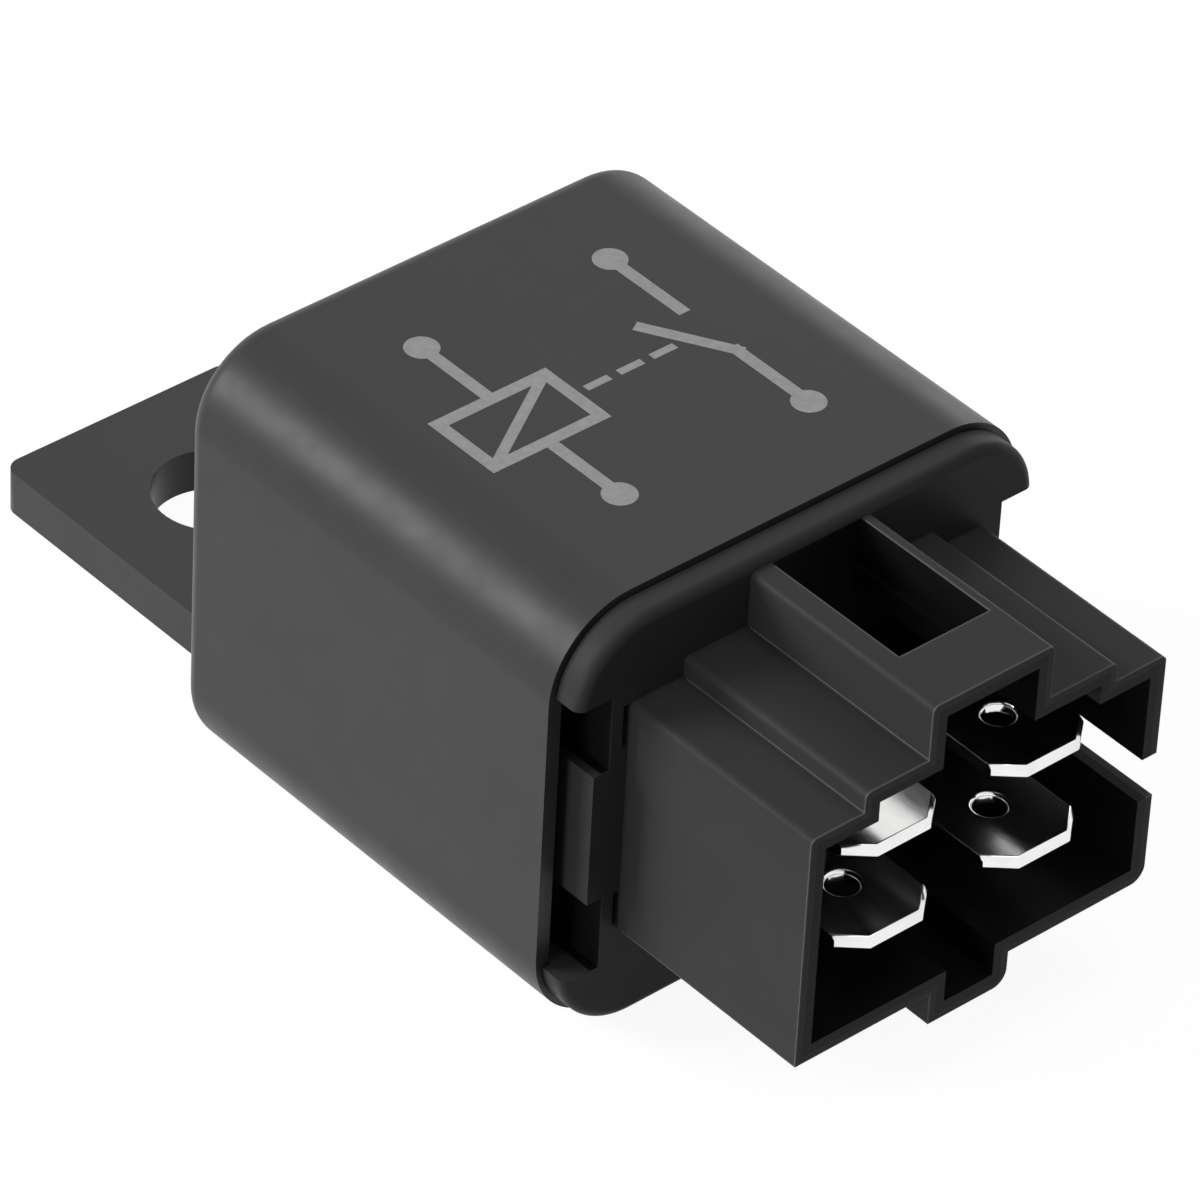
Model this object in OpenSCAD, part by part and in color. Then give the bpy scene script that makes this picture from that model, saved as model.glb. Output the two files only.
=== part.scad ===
// Plug-in automotive relay, four blades, with a moulded mounting tab.
// It lies on its mounting face: X is across the relay, Y runs from the plug
// socket towards the mounting tab, and Z points away from the mounting face.

/* [Cover] */
// Width of the cover, side to side
cover_w = 31.2; // [31:0.2:35]
// Height of the cover above its mounting face
cover_h = 26.4; // [26.2:0.2:30]
// Length of the cover, from its open rim to its rear face
cover_l = 28.5; // [28.3:0.1:32]
// Wall thickness of the cover
cover_wall = 0.85; // [0.7:0.05:1]
// Radius of the cover's four long corners
cover_corner_r = 5; // [4:0.25:5.5]
// Radius of the edge round the cover's rear face
cover_edge_r = 1.2; // [0.6:0.1:2]
// Length of the notch in the right wall's rim, beside the latch recess
rim_notch_l = 1.3; // [0.8:0.1:2]

/* [Mounting tab] */
// Width of the tab
tab_w = 15.6; // [14:0.2:20]
// Length of the tab behind the cover's rear face
tab_l = 22.7; // [18:0.1:26]
// Thickness of the tab
tab_t = 2.7; // [2:0.1:3.5]
// Sideways place of the tab's middle
tab_x = -2; // [-4:0.25:0]
// Diameter of the fixing hole
fixing_hole_d = 7.2; // [5:0.1:8]
// Distance from the middle of the fixing hole to the tab's end
fixing_hole_edge = 8.7; // [7:0.1:10]
// Radius of the tab's two free corners
tab_corner_r = 1; // [0.5:0.1:3]

/* [Base] */
// Length of the base that stands out of the cover's rim
base_band = 1.8; // [1.5:0.1:3]
// Distance from the cover's outside to the base's flange in front of the rim
flange_inset = 0.35; // [0.2:0.05:0.8]
// Radius of the flange's front edge
flange_edge_r = 0.6; // [0.3:0.1:1]
// Seam between the flange and the cover's rim
seam = 0.12; // [0.05:0.01:0.3]
// Thickness of the base
base_t = 4.5; // [4:0.1:6]
// Clearance between the base and the cover all round
base_gap = 0.05; // [0.03:0.01:0.1]
// Depth of the latch recess in each side of the base
recess_d = 2.25; // [1.8:0.05:2.3]
// Height of the latch recess
recess_h = 17.3; // [14:0.1:18]
// Length of the latch recess from the front face
recess_l = 3.2; // [2.7:0.1:3.4]
// Height of the latch lug in the recess
lug_h = 8.2; // [6:0.1:10]
// Distance from the lug's face to the side of the flange
lug_inset = 1.25; // [1:0.05:1.6]
// Height of the pads that the yoke stands on
pad_h = 1.5; // [1.3:0.1:2]
// Width of those pads
pad_w = 2.4; // [2:0.1:2.6]
// Width of the relief slots beside the socket's left wall
relief_w = 0.4; // [0.3:0.05:0.6]
// Height of the upper relief slot
relief_h = 2.8; // [2:0.1:4]
// Depth of the relief slots
relief_d = 1; // [0.6:0.1:2]

/* [Plug socket] */
// Width of the socket
socket_w = 23.7; // [23.4:0.1:25]
// Length of the socket in front of the base
socket_l = 13.4; // [11:0.1:16]
// Wall thickness of the socket
socket_wall = 1; // [0.8:0.05:1.2]
// Radius of the socket's long edges
socket_edge_r = 0.4; // [0.2:0.05:0.5]
// Radius of the socket's lower right edge and of the keyway's right edge
socket_key_r = 0.9; // [0.5:0.1:1]
// Height of the socket's floor above the mounting face
socket_z = 6.5; // [5.5:0.1:7]
// Height of the socket's outer shoulders
shoulder_z = 21; // [20.6:0.1:21.5]
// Width of the middle step
step_w = 16.8; // [14:0.1:19]
// Rise of the middle step above the shoulders
step_rise = 1.2; // [0.8:0.1:1.5]
// Width of the raised latch housing
latch_w = 8.1; // [7.6:0.1:10]
// Sideways place of the latch housing's middle
latch_x = -0.2; // [-1:0.1:1]
// Width of the latch window
window_w = 6; // [5:0.1:6.1]
// Length of the latch window
window_l = 9.4; // [7:0.1:11]
// Sideways place of the window's middle
window_x = 0.1; // [-0.2:0.05:0.2]
// Width of the keyway under the socket
key_w = 5.3; // [4:0.1:6]
// Depth of the keyway
key_d = 2; // [1.5:0.1:2.5]
// Sideways place of the keyway's middle
key_x = -0.15; // [-1:0.05:1]
// Lower edge of the slot in the socket's right wall
side_slot_z = 12; // [11.5:0.1:12.5]
// Height of that slot
side_slot_h = 2.7; // [2:0.1:3.5]
// Length of that slot from the socket's mouth
side_slot_l = 10.4; // [8:0.1:12]

/* [Blade terminals] */
// Width of a blade
blade_w = 6.3; // [6:0.1:6.5]
// Thickness of a blade
blade_t = 0.8; // [0.7:0.05:1]
// Distance between the two columns of blades
column_pitch = 10; // [9.6:0.1:10.4]
// Underside of the lower row of blades
lower_row_z = 11; // [10.6:0.1:11.4]
// Underside of the upper row of blades
upper_row_z = 16.9; // [16.6:0.1:17.2]
// Distance from the socket's mouth to the blade tips
tip_inset = 0.5; // [0:0.1:2]
// Width that each tip corner loses
tip_cut_w = 1.4; // [0.8:0.1:1.8]
// Length of the tip's corner cuts
tip_cut_l = 1.2; // [0.8:0.1:2]
// Diameter of the detent hole in a blade
detent_d = 1.8; // [1.4:0.1:2.2]
// Distance from the tip to the detent hole
detent_l = 4.1; // [3.5:0.1:5]
// Width of the bevel round the detent hole
detent_bevel = 0.15; // [0.1:0.05:0.3]
// Thickness that the pressed tip edge loses on each side
coin_t = 0.2; // [0.1:0.05:0.25]
// Width of the pressed tip edge
coin_l = 0.25; // [0.15:0.05:0.6]
// Clearance between a terminal and its slot in the base
slot_gap = 0.05; // [0.03:0.01:0.1]

/* [Magnet] */
// Thickness of the yoke
yoke_t = 1.6; // [1.2:0.1:1.8]
// Width of the yoke
yoke_w = 15; // [14:0.1:15.6]
// Length of the yoke, from its foot to the hinge edge
yoke_l = 19; // [17:0.1:19]
// Room between the yoke and the cover's side wall
yoke_room = 1.75; // [1.5:0.05:2]
// Diameter of the core
core_d = 8; // [6:0.1:8.5]
// Diameter of the core's riveted end in the yoke
core_rivet_d = 5; // [4:0.1:6]
// Diameter of the pole face
pole_d = 10.5; // [9:0.1:12]
// Thickness of the pole head
pole_t = 1.2; // [1:0.1:2]
// Air gap left between the pole and the closed armature
pole_gap = 0.05; // [0.03:0.01:0.15]
// Wall thickness of the bobbin's tube
bobbin_wall = 0.6; // [0.5:0.05:1]
// Thickness of the bobbin's flanges
flange_t = 1; // [0.8:0.1:1.4]
// Distance that the square flanges stand past each side of the yoke
flange_lip = 0.7; // [0.5:0.1:1]
// Distance from the winding to the flanges' edge
winding_inset = 0.5; // [0.3:0.1:1.5]
// Diameter of the winding's wire leads
lead_d = 0.3; // [0.2:0.05:0.4]

/* [Armature and contacts] */
// Thickness of the armature
armature_t = 1.4; // [1:0.1:1.5]
// Width of the armature
armature_w = 14; // [12:0.1:15]
// Distance that the contacts stand past the armature's free end
contact_overhang = 5; // [4.5:0.1:6]
// Angle that the armature stands open, in degrees
open_angle = 3; // [2:0.1:3.2]
// Thickness of the contact spring
spring_t = 0.3; // [0.2:0.05:0.35]
// Width of the contact spring
spring_w = 9; // [8:0.1:10]
// Length of the spring's leg on the yoke
spring_leg = 12; // [10:0.1:14]
// Distance from the middle of the contacts to the strips beside the coil
contact_reach = 3; // [2.6:0.1:3.6]
// Room between those strips and the cover's side wall
strip_room = 0.95; // [0.7:0.05:1.2]
// Diameter of the contact faces
contact_d = 3.4; // [2.8:0.1:3.8]
// Thickness of each contact face
contact_t = 0.9; // [0.6:0.1:1.1]
// Gap left between the closed contacts
contact_gap = 0.05; // [0.03:0.01:0.1]
// Thickness of the strips that carry the fixed contact and the stop
strip_t = 0.8; // [0.6:0.1:1]
// Width of the strip that carries the fixed contact
strip_w = 5; // [4:0.1:6]
// Depth of the stop's foot in the base
stop_foot = 1; // [0.8:0.1:1.2]
// Diameter of the rivet shanks
rivet_d = 2; // [1.6:0.1:2.4]
// Distance that a rivet's head stands past its shank all round
rivet_lip = 0.7; // [0.4:0.1:0.9]
// Height of the rivet heads
rivet_head = 0.5; // [0.4:0.05:0.7]
// Spacing of the two rivets in the armature
armature_rivet_pitch = 6.8; // [6:0.1:7]
// Distance from the hinge edge to the armature's rivets
armature_rivet_l = 9; // [7:0.1:10]
// Spacing of the two rivets in the yoke
yoke_rivet_pitch = 6.4; // [6:0.1:7]
// Distance from the hinge edge to the yoke's rivets
yoke_rivet_l = 8.5; // [6:0.1:9.5]

/* [Hidden] */
$fn = 64;
// Overlap that lets a cut or a joined shape run past a face
eps = 0.5;
// Radial clearance of a riveted or threaded-through joint
rivet_gap = 0.02;
// Rest clearance between faces that only touch in use
touch_gap = 0.03;
// Clearance between the coil's flanges and the yoke
coil_room = 0.1;

// Places along Y, from the socket's mouth to the end of the tab
total_l = socket_l + base_band + cover_l + tab_l;
mouth_y = -total_l / 2;
front_y = mouth_y + socket_l;
rim_y = front_y + base_band;
rear_y = rim_y + cover_l;
tab_end_y = rear_y + tab_l;
inner_y = front_y + base_t;
yoke_y = inner_y + pad_h;
coil_y = yoke_y + yoke_t;
yoke_end_y = yoke_y + yoke_l;
hinge_y = yoke_end_y + touch_gap;
pole_y = hinge_y - pole_gap;
bobbin_end_y = pole_y - pole_t;
tip_y = mouth_y + tip_inset;

// Places across the relay and above the mounting face
mid_z = cover_h / 2;
cavity_x = cover_w / 2 - cover_wall;
base_x = cavity_x - base_gap;
base_h = cover_h - 2 * (cover_wall + base_gap);
base_r = cover_corner_r - cover_wall - base_gap;
yoke_x = -cavity_x + yoke_room;
flange_w = yoke_w + 2 * flange_lip;
winding_d = flange_w - 2 * winding_inset;
coil_x = yoke_x + yoke_t + coil_room + flange_w / 2;
column_x = column_pitch / 2;
flange_x = cover_w / 2 - flange_inset;
flange_corner_r = cover_corner_r - flange_inset;
recess_x = flange_x - recess_d;
lug_x = flange_x - lug_inset;

// Contact strips on the right of the coil
strip_x = cavity_x - strip_room - strip_t;
contact_x = strip_x - contact_reach;
contact_l = contact_x - yoke_x;
armature_l = contact_l - contact_overhang;
fixed_face_y = hinge_y + armature_t - contact_t - contact_gap;
arm_y = fixed_face_y - contact_t;
contact_rim = 0.3;
tail_t = 0.35;
tail_d = 2.4;
stack_t = armature_t + spring_t + tail_t;
stop_y = hinge_y + (contact_l + tail_d / 2) * sin(open_angle)
  + stack_t * cos(open_angle) + touch_gap;
strip_gap = 0.8;
stop_z0 = upper_row_z + blade_t + strip_gap;
stop_z1 = mid_z + flange_w / 2;

// Radius of the flanges' corners
flange_r = 1.5;

// The yoke's foot and the pads under it
foot_l = 7;
pad_inset = 0.3;

// Posts that the winding's wires are wrapped round
post_w = 1.2;
post_z = 3;
post_end = 0.5;
post_lip = 0.9;
lead_turns = 3;
lead_pitch = 0.9 * lead_d;
lead_wrap_r = post_w / 2 + lead_d;
lead_y = coil_y + flange_t + 2 * lead_d;

// Leaf spring and its rivets
knuckle_r = armature_t;
spring_leg_x = yoke_x - knuckle_r * (1 - cos(open_angle));
spring_arm_w = 4.4;
spring_window_w = 3;
spring_window_l = 2.5;
spring_end = 1.6;
spring_tip_l = contact_l + spring_end;
yoke_rivet_y = yoke_end_y - yoke_rivet_l;
rivet_head_d = rivet_d + 2 * rivet_lip;

// ---------- helpers ----------

// Extrudes a shape drawn in X and Z from y0 to y1
module along_y(y0, y1) {
  translate([0, y1, 0]) rotate([90, 0, 0]) linear_extrude(y1 - y0) children();
}

// Box from its low corner to its high corner
module box(low, high) {
  translate(low) cube(high - low);
}

// Rectangle round the middle height with round corners, in X and Z
module round_rect(w, h, r) {
  translate([0, mid_z]) {
    square([w - 2 * r, h], center = true);
    square([w, h - 2 * r], center = true);
    for (sx = [-1, 1], sz = [-1, 1])
      translate([sx * (w / 2 - r), sz * (h / 2 - r)]) circle(r);
  }
}

// Cylinder along Y
module rod_y(x, y0, y1, z, d) {
  translate([x, y1, z]) rotate([90, 0, 0]) cylinder(d = d, h = y1 - y0);
}

// Cylinder along X
module rod_x(x0, x1, y, z, d) {
  translate([x0, y, z]) rotate([0, 90, 0]) cylinder(d = d, h = x1 - x0);
}

// Cylinder between two points in one plane of constant Y
module wire_xz(y, from, to, d) {
  run = to - from;
  translate([from[0], y, from[1]]) rotate([0, atan2(run[0], run[1]), 0])
    cylinder(d = d, h = norm(run), $fn = 24);
}

// Puts children in the armature's own frame: X along it, Y away from the yoke
module on_armature() {
  translate([yoke_x, hinge_y, mid_z]) rotate([0, 0, open_angle]) children();
}

// ---------- cover ----------

// Plan of a block of width w and length l, with its two far corners rounded by e
module end_rounded(w, l, e) {
  translate([-w / 2, 0]) square([w, l - e]);
  translate([-w / 2 + e, 0]) square([w - 2 * e, l]);
  for (s = [-1, 1]) translate([s * (w / 2 - e), l - e]) circle(e);
}

// Block along Y whose long corners have radius r and whose far end's edge has radius e:
// two crossed slabs with a turned block in each corner
module rounded_block(w, h, l, r, e) {
  linear_extrude(h - 2 * r, center = true) end_rounded(w, l, e);
  rotate([0, -90, 0]) linear_extrude(w - 2 * r, center = true) end_rounded(h, l, e);
  for (turn = [0 : 3]) {
    sx = turn == 0 || turn == 3 ? 1 : -1;
    sz = turn < 2 ? -1 : 1;
    translate([sx * (w / 2 - r), 0, sz * (h / 2 - r)])
      rotate([0, 90 * turn, 0]) rotate([-90, 0, 0]) rotate_extrude(angle = 90)
        intersection() {
          end_rounded(2 * r, l, e);
          square([r, l]);
        }
  }
}

// Mounting tab, flush with the mounting face
module tab_plate() {
  r = tab_corner_r;
  half = tab_w / 2;
  translate([tab_x, 0, 0]) linear_extrude(tab_t) {
    translate([-half, rear_y - cover_edge_r]) square([tab_w, tab_l + cover_edge_r - r]);
    translate([-half + r, tab_end_y - 2 * r]) square([tab_w - 2 * r, 2 * r]);
    for (s = [-1, 1]) translate([s * (half - r), tab_end_y - r]) circle(r);
  }
}

module cover() {
  color([0.26, 0.26, 0.27])
    difference() {
      union() {
        translate([0, rim_y, mid_z])
          rounded_block(cover_w, cover_h, cover_l, cover_corner_r, cover_edge_r);
        tab_plate();
      }
      along_y(rim_y - eps, rear_y - cover_wall)
        round_rect(2 * cavity_x, cover_h - 2 * cover_wall, cover_corner_r - cover_wall);
      translate([tab_x, tab_end_y - fixing_hole_edge, -eps])
        cylinder(d = fixing_hole_d, h = tab_t + 2 * eps);
      box([cavity_x - eps, rim_y - eps, mid_z - recess_h / 2],
        [cover_w / 2 + eps, rim_y + rim_notch_l, mid_z + recess_h / 2]);
    }
}

// ---------- base ----------

// Upright rectangle from its low corner; its four corners may each have a radius,
// given as [low left, low right, high right, high left]
module cornered(low, high, r) {
  spots = [low, [high[0], low[1]], high, [low[0], high[1]]];
  inward = [[1, 1], [-1, 1], [-1, -1], [1, -1]];
  difference() {
    translate(low) square(high - low);
    for (i = [0 : 3])
      if (r[i] > 0)
        difference() {
          translate(spots[i] + inward[i] * (r[i] - eps) / 2) square(r[i] + eps, center = true);
          translate(spots[i] + inward[i] * r[i]) circle(r[i]);
        }
  }
}

// Outline of the socket, drawn in X and Z; inset 0 is the outside
module socket_outline(inset) {
  floor_z = socket_z + inset;
  e = inset > 0 ? 0 : socket_edge_r;
  k = inset > 0 ? 0 : socket_key_r;
  module level(x, w, top, r) {
    cornered([x - w / 2 + inset, floor_z], [x + w / 2 - inset, top - inset], r);
  }
  level(0, socket_w, shoulder_z, [0, k, e, e]);
  level(0, step_w, shoulder_z + step_rise, [0, 0, e, e]);
  level(latch_x, latch_w, mid_z + base_h / 2, [0, 0, e, e]);
  cornered([key_x - key_w / 2 + inset, floor_z - key_d],
    [key_x + key_w / 2 - inset, floor_z + eps], [0, k, 0, 0]);
}

module socket() {
  difference() {
    along_y(mouth_y, front_y + eps) socket_outline(0);
    along_y(mouth_y - eps, front_y) socket_outline(socket_wall);
    box([window_x - window_w / 2, front_y - window_l, shoulder_z + step_rise + eps],
      [window_x + window_w / 2, front_y, cover_h]);
    box([socket_w / 2 - 2 * socket_wall, mouth_y - eps, side_slot_z],
      [socket_w / 2 + eps, mouth_y + side_slot_l, side_slot_z + side_slot_h]);
  }
}

// One side's latch recess, with the lug left standing
module latch_recess() {
  difference() {
    box([recess_x, front_y - eps, mid_z - recess_h / 2],
      [flange_x + eps, front_y + recess_l, mid_z + recess_h / 2]);
    box([recess_x - eps, front_y - 2 * eps, mid_z - lug_h / 2],
      [lug_x, front_y + recess_l + eps, mid_z + lug_h / 2]);
  }
}

// Slot for a terminal's blade
module blade_slot(x, z) {
  box([x - blade_w / 2 - slot_gap, front_y - eps, z - slot_gap],
    [x + blade_w / 2 + slot_gap, inner_y + eps, z + blade_t + slot_gap]);
}

// Pads that the yoke's foot stands on: one at its heel and two at its end
module yoke_pads() {
  low_z = mid_z - yoke_w / 2 + pad_inset;
  high_z = mid_z + yoke_w / 2 - pad_inset;
  end_x = column_x - blade_w / 4 - slot_gap - pad_inset - pad_w;
  box([yoke_x, inner_y - eps, low_z], [yoke_x + pad_w, yoke_y, high_z]);
  box([end_x, inner_y - eps, low_z], [end_x + pad_w, yoke_y, lower_row_z - pad_inset]);
  box([end_x, inner_y - eps, upper_row_z + blade_t + pad_inset], [end_x + pad_w, yoke_y, high_z]);
}

// Narrow slots in the base's front face where the socket's left wall meets it
module relief_slots() {
  wall_x = -socket_w / 2;
  low_z = socket_z + relief_w;
  box([wall_x - relief_w, front_y - eps, shoulder_z - relief_h],
    [wall_x, front_y + relief_d, shoulder_z]);
  box([wall_x - relief_w, front_y - eps, low_z],
    [wall_x, front_y + relief_d, low_z + 0.75 * relief_h]);
}

module base() {
  color([0.24, 0.24, 0.25])
    difference() {
      union() {
        translate([0, rim_y - seam, mid_z]) mirror([0, 1, 0])
          rounded_block(2 * flange_x, cover_h - 2 * flange_inset, base_band - seam,
            flange_corner_r, flange_edge_r);
        along_y(rim_y - seam - eps, inner_y) round_rect(2 * base_x, base_h, base_r);
        socket();
        yoke_pads();
      }
      latch_recess();
      mirror([1, 0, 0]) latch_recess();
      relief_slots();
      for (x = [-column_x, column_x], z = [lower_row_z, upper_row_z]) blade_slot(x, z);
      box([strip_x - slot_gap, inner_y - stop_foot - slot_gap, stop_z0 - slot_gap],
        [strip_x + strip_t + slot_gap, inner_y + eps, stop_z1 + slot_gap]);
    }
}

// ---------- terminals ----------

// Cuts one pressed edge of a blade, above a plane that rises from the edge along +Y
module coin_cut() {
  rotate([atan2(coin_t, coin_l), 0, 0])
    translate([-blade_w, -blade_w / 2, 0]) cube([2 * blade_w, blade_w, blade_t]);
}

// Flat blade from its tip to the plane y1, with the detent hole
module blade(x, z, y1) {
  cut_angle = atan2(tip_cut_l, tip_cut_w);
  translate([x, 0, z + blade_t / 2])
    difference() {
      linear_extrude(blade_t, center = true)
        polygon([
          [-blade_w / 2, y1], [-blade_w / 2, tip_y + tip_cut_l],
          [-blade_w / 2 + tip_cut_w, tip_y], [blade_w / 2 - tip_cut_w, tip_y],
          [blade_w / 2, tip_y + tip_cut_l], [blade_w / 2, y1]
        ]);
      translate([0, tip_y + detent_l, 0]) {
        cylinder(d = detent_d, h = 2 * blade_t, center = true);
        for (side = [0, 1]) mirror([0, 0, side]) translate([0, 0, blade_t / 2 - detent_bevel])
          cylinder(d1 = detent_d, d2 = detent_d + 4 * detent_bevel, h = 2 * detent_bevel);
      }
      for (side = [0, 1]) mirror([0, 0, side]) {
        translate([0, tip_y, blade_t / 2 - coin_t]) coin_cut();
        for (turn = [-1, 1])
          translate([turn * (blade_w / 2 - tip_cut_w), tip_y, blade_t / 2 - coin_t])
            rotate([0, 0, turn * cut_angle]) coin_cut();
      }
    }
}

// Common contact: its inner flange carries the yoke's foot
module terminal_30() {
  color([0.78, 0.78, 0.76]) {
    blade(-column_x, upper_row_z, yoke_y);
    box([-column_x - blade_w / 2, yoke_y - blade_t, upper_row_z],
      [-column_x + blade_w / 2, yoke_y, mid_z + yoke_w / 2 - pad_inset]);
  }
}

// Fixed contact: a strip rises beside the coil and turns in under the contact
module terminal_87() {
  low_z = mid_z - strip_w / 2;
  color([0.78, 0.78, 0.76])
    difference() {
      union() {
        blade(column_x, upper_row_z, inner_y + strip_t);
        box([column_x - blade_w / 2, inner_y, upper_row_z + blade_t - strip_w],
          [strip_x + strip_t, inner_y + strip_t, upper_row_z + blade_t]);
        box([strip_x, inner_y, low_z], [strip_x + strip_t, arm_y, upper_row_z + blade_t]);
        box([contact_x - contact_d / 2 - contact_rim, arm_y - strip_t, low_z],
          [strip_x + strip_t, arm_y, low_z + strip_w]);
      }
      rod_y(contact_x, arm_y - strip_t - eps, arm_y + eps, mid_z, rivet_d + 2 * rivet_gap);
    }
}

// Coil terminal: it turns down inside the base and ends in a post for the wire
module coil_terminal(side) {
  x = side * column_x;
  color([0.78, 0.78, 0.76]) {
    blade(x, lower_row_z, inner_y + strip_t);
    box([x - blade_w / 4, inner_y, post_z],
      [x + blade_w / 4, inner_y + strip_t, lower_row_z + blade_t]);
    box([x - post_w / 2, inner_y, post_z],
      [x + post_w / 2, lead_y + lead_turns * lead_pitch + post_end, post_z + strip_t]);
  }
}

module terminal_85() {
  coil_terminal(-1);
}

module terminal_86() {
  coil_terminal(1);
}

// ---------- magnet ----------

module yoke() {
  foot_x = coil_x + foot_l;
  low_z = mid_z - yoke_w / 2;
  high_z = mid_z + yoke_w / 2;
  color([0.62, 0.63, 0.62])
    difference() {
      union() {
        box([yoke_x, yoke_y, low_z], [yoke_x + yoke_t, yoke_end_y, high_z]);
        box([yoke_x, yoke_y, low_z], [foot_x, coil_y, high_z]);
      }
      rod_y(coil_x, yoke_y - eps, coil_y + eps, mid_z, core_rivet_d + 2 * rivet_gap);
      for (s = [-1, 1])
        rod_x(yoke_x - eps, yoke_x + yoke_t + eps, yoke_rivet_y, mid_z + s * yoke_rivet_pitch / 2,
          rivet_d + 2 * rivet_gap);
    }
}

module core() {
  color([0.7, 0.7, 0.68]) {
    rod_y(coil_x, yoke_y, coil_y + eps, mid_z, core_rivet_d);
    rod_y(coil_x, coil_y, pole_y, mid_z, core_d);
    rod_y(coil_x, bobbin_end_y, pole_y, mid_z, pole_d);
  }
}

// Square flange with small round corners, in X and Z round the coil's axis
module flange_outline() {
  translate([coil_x, 0]) round_rect(flange_w, flange_w, flange_r);
}

module bobbin() {
  post_slot_z = post_z - slot_gap;
  color([0.86, 0.84, 0.76])
    difference() {
      union() {
        rod_y(coil_x, coil_y, bobbin_end_y, mid_z, core_d + 2 * (bobbin_wall + rivet_gap));
        along_y(coil_y, coil_y + flange_t) {
          flange_outline();
          translate([-column_x - post_w / 2 - post_lip, post_z - post_lip])
            square([2 * column_x + post_w + 2 * post_lip, mid_z - winding_d / 2 - post_z + post_lip]);
        }
        along_y(bobbin_end_y - flange_t, bobbin_end_y) flange_outline();
      }
      rod_y(coil_x, coil_y - eps, bobbin_end_y + eps, mid_z, core_d + 2 * rivet_gap);
      for (s = [-1, 1])
        box([s * column_x - post_w / 2 - slot_gap, coil_y - eps, post_slot_z],
          [s * column_x + post_w / 2 + slot_gap, coil_y + flange_t + eps,
            post_z + strip_t + slot_gap]);
    }
}

module coil_winding() {
  color([0.72, 0.4, 0.2])
    difference() {
      rod_y(coil_x, coil_y + flange_t, bobbin_end_y - flange_t, mid_z, winding_d);
      rod_y(coil_x, coil_y, bobbin_end_y, mid_z, core_d + 2 * (bobbin_wall + 2 * rivet_gap));
    }
}

// Wire from the winding to a post, with three turns round the post
module coil_lead(side, angle) {
  x = side * column_x;
  z = post_z + strip_t / 2;
  start = [coil_x, mid_z] + (winding_d / 2) * [cos(angle), sin(angle)];
  away = start - [x, z];
  color([0.72, 0.4, 0.2]) {
    wire_xz(lead_y, start, [x, z] + lead_wrap_r * away / norm(away), lead_d);
    for (turn = [0 : lead_turns - 1])
      translate([x, lead_y + turn * lead_pitch, z]) rotate([90, 0, 0])
        rotate_extrude() translate([lead_wrap_r, 0]) circle(d = lead_d, $fn = 24);
  }
}

module coil_lead_85() {
  coil_lead(-1, -104);
}

module coil_lead_86() {
  coil_lead(1, -45);
}

// ---------- armature and contacts ----------

module armature() {
  color([0.66, 0.67, 0.66])
    on_armature()
      difference() {
        translate([0, 0, -armature_w / 2]) linear_extrude(armature_w) {
          translate([knuckle_r, 0]) square([armature_l - knuckle_r, armature_t]);
          intersection() {
            translate([knuckle_r, 0]) circle(knuckle_r - slot_gap);
            square([knuckle_r + eps, knuckle_r - slot_gap]);
          }
        }
        for (s = [-1, 1])
          rod_y(armature_rivet_l, -eps, armature_t + eps, s * armature_rivet_pitch / 2,
            rivet_d + 2 * rivet_gap);
      }
}

// Side view of the leaf spring: a leg, a bend round the hinge, and the contact arm
module spring_profile() {
  leg_y = yoke_end_y - spring_leg;
  bend_y = hinge_y + knuckle_r * sin(open_angle);
  reach = 2 * knuckle_r;
  translate([spring_leg_x - spring_t, leg_y]) square([spring_t, bend_y - leg_y]);
  translate([yoke_x, hinge_y]) rotate(open_angle) translate([knuckle_r, 0]) {
    intersection() {
      difference() {
        circle(knuckle_r + spring_t);
        circle(knuckle_r);
      }
      polygon([[0, 0], [0, reach], [-reach, reach], [-reach, reach * tan(open_angle)]]);
    }
    translate([0, armature_t]) square([spring_tip_l - knuckle_r, spring_t]);
  }
}

// Cuts the spring's arm to its width s side of the middle, past the armature's end
module arm_side_cut(s) {
  arm_half = spring_arm_w / 2;
  translate([0, armature_t + 2 * eps, 0]) rotate([90, 0, 0]) linear_extrude(3 * eps)
    polygon([
      [armature_l - spring_arm_w / 2, s * (spring_w / 2 + eps)],
      [armature_l - spring_arm_w / 2, s * spring_w / 2],
      [armature_l + spring_t, s * arm_half], [spring_tip_l + eps, s * arm_half],
      [spring_tip_l + eps, s * (spring_w / 2 + eps)]
    ]);
}

module contact_spring() {
  color([0.8, 0.62, 0.36])
    difference() {
      translate([0, 0, mid_z - spring_w / 2]) linear_extrude(spring_w) spring_profile();
      box([spring_leg_x - spring_window_l, yoke_end_y - spring_window_l,
          mid_z - spring_window_w / 2],
        [yoke_x + spring_window_l, hinge_y + 2 * spring_window_l, mid_z + spring_window_w / 2]);
      for (s = [-1, 1])
        rod_x(spring_leg_x - eps - spring_t, spring_leg_x + eps, yoke_rivet_y,
          mid_z + s * yoke_rivet_pitch / 2, rivet_d + 2 * rivet_gap);
      on_armature() {
        for (s = [-1, 1]) {
          rod_y(armature_rivet_l, armature_t - eps, armature_t + 2 * eps,
            s * armature_rivet_pitch / 2, rivet_d + 2 * rivet_gap);
          arm_side_cut(s);
        }
        rod_y(contact_l, armature_t - eps, armature_t + 2 * eps, 0,
          rivet_d + 2 * rivet_gap);
      }
    }
}

module moving_contact() {
  color([0.85, 0.85, 0.84])
    on_armature() {
      rod_y(contact_l, armature_t - contact_t, armature_t, 0, contact_d);
      rod_y(contact_l, armature_t - contact_t, armature_t + spring_t + tail_t, 0, rivet_d);
      rod_y(contact_l, armature_t + spring_t, armature_t + spring_t + tail_t, 0, tail_d);
    }
}

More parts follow.
